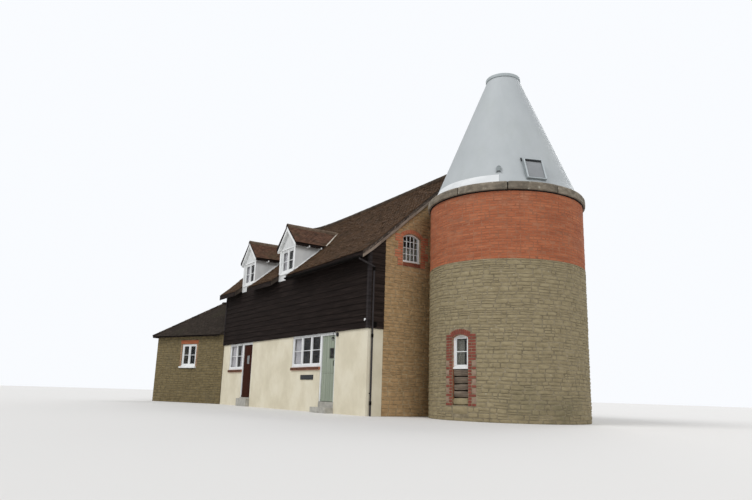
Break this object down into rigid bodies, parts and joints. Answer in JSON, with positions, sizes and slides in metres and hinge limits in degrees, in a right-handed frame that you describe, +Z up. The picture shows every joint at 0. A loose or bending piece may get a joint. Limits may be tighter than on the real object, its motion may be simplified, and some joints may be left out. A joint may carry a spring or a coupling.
{
  "type": "oast house",
  "caption": "Oast house: round stone and brick kiln with a grey truncated cone, long boarded and rendered range with gabled dormers, and a low hipped wing",
  "frame": {"origin": "kiln axis at the lowest ground, on the underside of the kiln's floor", "axes": "+X along the range towards the kiln, +Y into the building from its front, +Z up"},
  "size_m": [21.2827, 9.331, 10.27],
  "materials": {
    "rubble_stone": "rough rubble in lime mortar",
    "red_brick": "old soft red brick in lime mortar",
    "coping_stone": "weathered cast stone",
    "cone_paint": "satin grey paint",
    "white_paint": "white paint",
    "cream_render": "painted render",
    "black_boards": "tarred weatherboards",
    "roof_tiles": "weathered clay tiles with lichen",
    "white_plaster": "painted plaster",
    "white_timber": "white gloss paint",
    "window_glass": "clear",
    "brown_planks": "dark red-brown stain",
    "sage_boards": "sage green paint",
    "black_iron": "black paint",
    "floor_slab": "plain concrete",
    "floor_boards": "sawn boards",
    "black_plastic": "matt",
    "dark_timber": "weathered dark timber"
  },
  "bodies": {
    "building": {"bargeboards": "dark_timber", "cone_apron": "white_paint", "door_frames": "white_timber", "door_pintles": "black_iron", "door_steps": "coping_stone", "dormer_cheeks": "white_plaster", "dormer_fronts": "white_plaster", "dormer_left_slopes": "roof_tiles", "dormer_right_slopes": "roof_tiles", "downpipes": "black_plastic", "far_gable_wall": "rubble_stone", "front_boarded_wall": "black_boards", "front_wall_piers": "cream_render", "gable_doorway_heads": "rubble_stone", "ground_floors": "floor_slab", "ground_window_frames": "white_timber", "ground_window_glass": "window_glass", "gutters": "black_plastic", "kiln_blocked_opening": "coping_stone", "kiln_brick_wall_even": "red_brick", "kiln_brick_wall_odd": "red_brick", "kiln_cone": "cone_paint", "kiln_cone_cap": "cone_paint", "kiln_coping_even": "coping_stone", "kiln_coping_odd": "coping_stone", "kiln_doorway_head": "rubble_stone", "kiln_stone_wall_even": "rubble_stone", "kiln_stone_wall_odd": "rubble_stone", "kiln_window_frame": "white_timber", "near_gable_wall": "rubble_stone", "rear_boarded_wall": "black_boards", "rear_wall_piers": "cream_render", "ridge_tiles": "roof_tiles", "roof_front_slope": "roof_tiles", "roof_rear_slope": "roof_tiles", "rooflight_frame": "white_paint", "rooflight_glass": "window_glass", "sign_plate": "black_plastic", "upper_floors": "floor_boards", "upper_window_frames": "white_timber", "upper_window_glass": "window_glass", "wall_lantern": "black_iron", "window_aprons": "cream_render", "window_sills": "red_brick", "wing_end_wall": "rubble_stone", "wing_floor": "floor_slab", "wing_roof": "roof_tiles", "wing_side_walls": "rubble_stone"},
    "brown_door": {"brown_door": "brown_planks", "brown_door_pane": "window_glass", "brown_door_ironwork": "black_iron"},
    "green_door_lower_leaf": {"green_door_lower": "sage_boards", "green_door_lower_ironwork": "black_iron"},
    "green_door_upper_leaf": {"green_door_upper": "sage_boards", "green_door_pane": "window_glass", "green_door_upper_ironwork": "black_iron"}
  },
  "joints": [
    {"name": "brown_door_swing", "type": "hinge", "parent": "building", "child": "brown_door", "pos_m": [-11.047, -3.341, 0.335], "axis": [0, 0, 1], "range_deg": [0, 90]},
    {"name": "green_lower_swing", "type": "hinge", "parent": "building", "child": "green_door_lower_leaf", "pos_m": [-4.647, -3.341, 0.335], "axis": [0, 0, 1], "range_deg": [0, 90]},
    {"name": "green_upper_swing", "type": "hinge", "parent": "building", "child": "green_door_upper_leaf", "pos_m": [-4.647, -3.341, 0.335], "axis": [0, 0, 1], "range_deg": [0, 90]}
  ]
}
